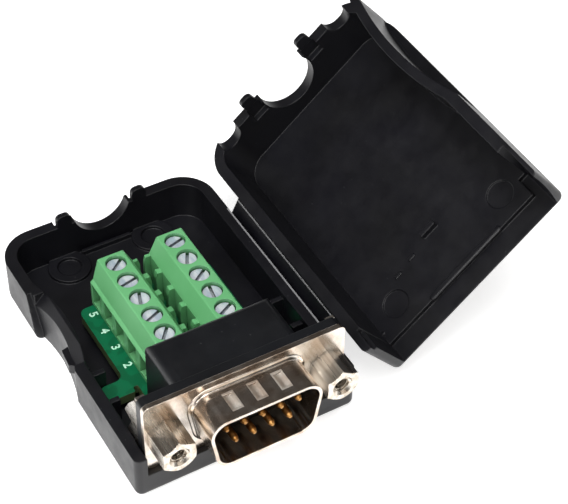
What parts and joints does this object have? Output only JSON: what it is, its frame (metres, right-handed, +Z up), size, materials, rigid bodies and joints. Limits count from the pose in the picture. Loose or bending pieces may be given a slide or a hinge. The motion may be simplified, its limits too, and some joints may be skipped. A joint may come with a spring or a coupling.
{
  "type": "d-sub screw-terminal breakout connector in a hinged case",
  "caption": "D-sub plug on a small circuit board with screw-terminal blocks, lying in an open clamshell case.",
  "frame": {"origin": "middle of the case's underside, on the surface it rests on", "axes": "+Z up, +Y from the plug's face towards the cable end, +X towards the cover's hinge"},
  "size_m": [0.0675, 0.0526, 0.0325],
  "materials": {
    "case_black": "satin",
    "insulator_black": "satin",
    "shell_nickel": "bright nickel plate",
    "bracket_nickel": "nickel plate",
    "screw_steel": "zinc plate",
    "pin_gold": "gold plate",
    "tinned_metal": "tin plate",
    "board_green": "solder mask",
    "terminal_green": "satin"
  },
  "bodies": {
    "base": {"base_shell": "case_black", "dsub_front_shell": "shell_nickel", "connector_insulator": "insulator_black", "contact_pins": "pin_gold", "left_bracket": "bracket_nickel", "right_bracket": "bracket_nickel", "left_screwlock": "screw_steel", "right_screwlock": "screw_steel", "circuit_board": "board_green", "left_terminal_housing": "terminal_green", "left_terminal_contacts": "tinned_metal", "right_terminal_housing": "terminal_green", "right_terminal_contacts": "tinned_metal"},
    "strip": {"hinge_strip": "case_black"},
    "cover": {"cover_shell": "case_black"},
    "left_clamp_cage_1": {"left_clamp_cage_1": "tinned_metal"},
    "left_clamp_screw_1": {"left_clamp_screw_1": "screw_steel"},
    "left_clamp_cage_2": {"left_clamp_cage_2": "tinned_metal"},
    "left_clamp_screw_2": {"left_clamp_screw_2": "screw_steel"},
    "left_clamp_cage_3": {"left_clamp_cage_3": "tinned_metal"},
    "left_clamp_screw_3": {"left_clamp_screw_3": "screw_steel"},
    "left_clamp_cage_4": {"left_clamp_cage_4": "tinned_metal"},
    "left_clamp_screw_4": {"left_clamp_screw_4": "screw_steel"},
    "left_clamp_cage_5": {"left_clamp_cage_5": "tinned_metal"},
    "left_clamp_screw_5": {"left_clamp_screw_5": "screw_steel"},
    "right_clamp_cage_1": {"right_clamp_cage_1": "tinned_metal"},
    "right_clamp_screw_1": {"right_clamp_screw_1": "screw_steel"},
    "right_clamp_cage_2": {"right_clamp_cage_2": "tinned_metal"},
    "right_clamp_screw_2": {"right_clamp_screw_2": "screw_steel"},
    "right_clamp_cage_3": {"right_clamp_cage_3": "tinned_metal"},
    "right_clamp_screw_3": {"right_clamp_screw_3": "screw_steel"},
    "right_clamp_cage_4": {"right_clamp_cage_4": "tinned_metal"},
    "right_clamp_screw_4": {"right_clamp_screw_4": "screw_steel"},
    "right_clamp_cage_5": {"right_clamp_cage_5": "tinned_metal"},
    "right_clamp_screw_5": {"right_clamp_screw_5": "screw_steel"}
  },
  "joints": [
    {"name": "strip_fold", "type": "hinge", "parent": "base", "child": "strip", "pos_m": [0.0177, -0.00175, 0.00635], "axis": [0, 1, 0], "range_deg": [-25, 3.67]},
    {"name": "cover_fold", "type": "hinge", "parent": "strip", "child": "cover", "pos_m": [0.01884, -0.00175, 0.0088], "axis": [0, 1, 0], "range_deg": [-114.5, 16.83]},
    {"name": "left_screw_spin_1", "type": "hinge", "parent": "base", "child": "left_clamp_screw_1", "pos_m": [-0.00477, 0.00696, 0.0106], "axis": [0, 0, 1], "range_deg": [-1040.5, 0]},
    {"name": "left_cage_lift_1", "type": "slide", "parent": "base", "child": "left_clamp_cage_1", "axis": [0, 0, 1], "range_m": [0, 0.0013]},
    {"name": "left_screw_spin_2", "type": "hinge", "parent": "base", "child": "left_clamp_screw_2", "pos_m": [-0.00477, 0.00315, 0.0106], "axis": [0, 0, 1], "range_deg": [-1040.5, 0]},
    {"name": "left_cage_lift_2", "type": "slide", "parent": "base", "child": "left_clamp_cage_2", "axis": [0, 0, 1], "range_m": [0, 0.0013]},
    {"name": "left_screw_spin_3", "type": "hinge", "parent": "base", "child": "left_clamp_screw_3", "pos_m": [-0.00477, -0.00066, 0.0106], "axis": [0, 0, 1], "range_deg": [-1040.5, 0]},
    {"name": "left_cage_lift_3", "type": "slide", "parent": "base", "child": "left_clamp_cage_3", "axis": [0, 0, 1], "range_m": [0, 0.0013]},
    {"name": "left_screw_spin_4", "type": "hinge", "parent": "base", "child": "left_clamp_screw_4", "pos_m": [-0.00477, -0.00447, 0.0106], "axis": [0, 0, 1], "range_deg": [-1040.5, 0]},
    {"name": "left_cage_lift_4", "type": "slide", "parent": "base", "child": "left_clamp_cage_4", "axis": [0, 0, 1], "range_m": [0, 0.0013]},
    {"name": "left_screw_spin_5", "type": "hinge", "parent": "base", "child": "left_clamp_screw_5", "pos_m": [-0.00477, -0.00828, 0.0106], "axis": [0, 0, 1], "range_deg": [-1040.5, 0]},
    {"name": "left_cage_lift_5", "type": "slide", "parent": "base", "child": "left_clamp_cage_5", "axis": [0, 0, 1], "range_m": [0, 0.0013]},
    {"name": "right_screw_spin_1", "type": "hinge", "parent": "base", "child": "right_clamp_screw_1", "pos_m": [0.00477, 0.00696, 0.0106], "axis": [0, 0, 1], "range_deg": [-1040.5, 0]},
    {"name": "right_cage_lift_1", "type": "slide", "parent": "base", "child": "right_clamp_cage_1", "axis": [0, 0, 1], "range_m": [0, 0.0013]},
    {"name": "right_screw_spin_2", "type": "hinge", "parent": "base", "child": "right_clamp_screw_2", "pos_m": [0.00477, 0.00315, 0.0106], "axis": [0, 0, 1], "range_deg": [-1040.5, 0]},
    {"name": "right_cage_lift_2", "type": "slide", "parent": "base", "child": "right_clamp_cage_2", "axis": [0, 0, 1], "range_m": [0, 0.0013]},
    {"name": "right_screw_spin_3", "type": "hinge", "parent": "base", "child": "right_clamp_screw_3", "pos_m": [0.00477, -0.00066, 0.0106], "axis": [0, 0, 1], "range_deg": [-1040.5, 0]},
    {"name": "right_cage_lift_3", "type": "slide", "parent": "base", "child": "right_clamp_cage_3", "axis": [0, 0, 1], "range_m": [0, 0.0013]},
    {"name": "right_screw_spin_4", "type": "hinge", "parent": "base", "child": "right_clamp_screw_4", "pos_m": [0.00477, -0.00447, 0.0106], "axis": [0, 0, 1], "range_deg": [-1040.5, 0]},
    {"name": "right_cage_lift_4", "type": "slide", "parent": "base", "child": "right_clamp_cage_4", "axis": [0, 0, 1], "range_m": [0, 0.0013]},
    {"name": "right_screw_spin_5", "type": "hinge", "parent": "base", "child": "right_clamp_screw_5", "pos_m": [0.00477, -0.00828, 0.0106], "axis": [0, 0, 1], "range_deg": [-1040.5, 0]},
    {"name": "right_cage_lift_5", "type": "slide", "parent": "base", "child": "right_clamp_cage_5", "axis": [0, 0, 1], "range_m": [0, 0.0013]}
  ],
  "couplings": [
    {"joint": "strip_fold", "follows": "cover_fold", "ratio": 0.21834},
    {"joint": "left_screw_spin_1", "follows": "left_cage_lift_1", "rad_per_m": -13963},
    {"joint": "left_screw_spin_2", "follows": "left_cage_lift_2", "rad_per_m": -13963},
    {"joint": "left_screw_spin_3", "follows": "left_cage_lift_3", "rad_per_m": -13963},
    {"joint": "left_screw_spin_4", "follows": "left_cage_lift_4", "rad_per_m": -13963},
    {"joint": "left_screw_spin_5", "follows": "left_cage_lift_5", "rad_per_m": -13963},
    {"joint": "right_screw_spin_1", "follows": "right_cage_lift_1", "rad_per_m": -13963},
    {"joint": "right_screw_spin_2", "follows": "right_cage_lift_2", "rad_per_m": -13963},
    {"joint": "right_screw_spin_3", "follows": "right_cage_lift_3", "rad_per_m": -13963},
    {"joint": "right_screw_spin_4", "follows": "right_cage_lift_4", "rad_per_m": -13963},
    {"joint": "right_screw_spin_5", "follows": "right_cage_lift_5", "rad_per_m": -13963}
  ]
}
